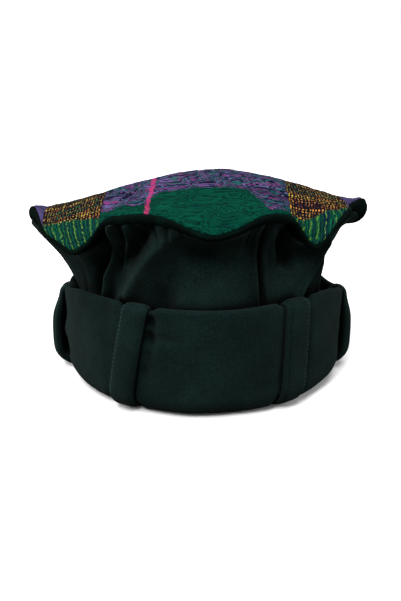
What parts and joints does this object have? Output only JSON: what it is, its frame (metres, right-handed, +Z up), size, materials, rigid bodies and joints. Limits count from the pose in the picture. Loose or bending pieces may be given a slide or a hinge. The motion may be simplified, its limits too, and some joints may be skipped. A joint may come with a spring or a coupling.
{
  "type": "pakol cap",
  "caption": "Soft pakol-like cap: a broad plaid wool panel with a wavy drooping rim over a gathered dark green wall, and a wide padded turned-up cuff held by loops.",
  "frame": {"origin": "below the middle of the whole cap, on the surface that it rests on", "axes": "+Z up; the front faces -Y; +X is to the right of a viewer in front of the cap"},
  "size_m": [0.245, 0.2512, 0.1592],
  "materials": {
    "plaid_wool": "crinkled wool plaid in green, violet, orange and navy",
    "facing_rib": "dark green ribbed band",
    "wall_cloth": "matte dark green felted knit",
    "cuff_cloth": "matte dark green felted knit, padded",
    "loop_cloth": "matte dark green felted knit with topstitching"
  },
  "bodies": {
    "root": {"crown_top": "plaid_wool", "rim_facing": "facing_rib", "crown_side": "wall_cloth", "cuff": "cuff_cloth", "cuff_loop_left": "loop_cloth", "cuff_loop_front_left": "loop_cloth", "cuff_loop_front_right": "loop_cloth", "cuff_loop_right": "loop_cloth", "cuff_loop_back_right": "loop_cloth", "cuff_loop_back_left": "loop_cloth"}
  },
  "joints": []
}
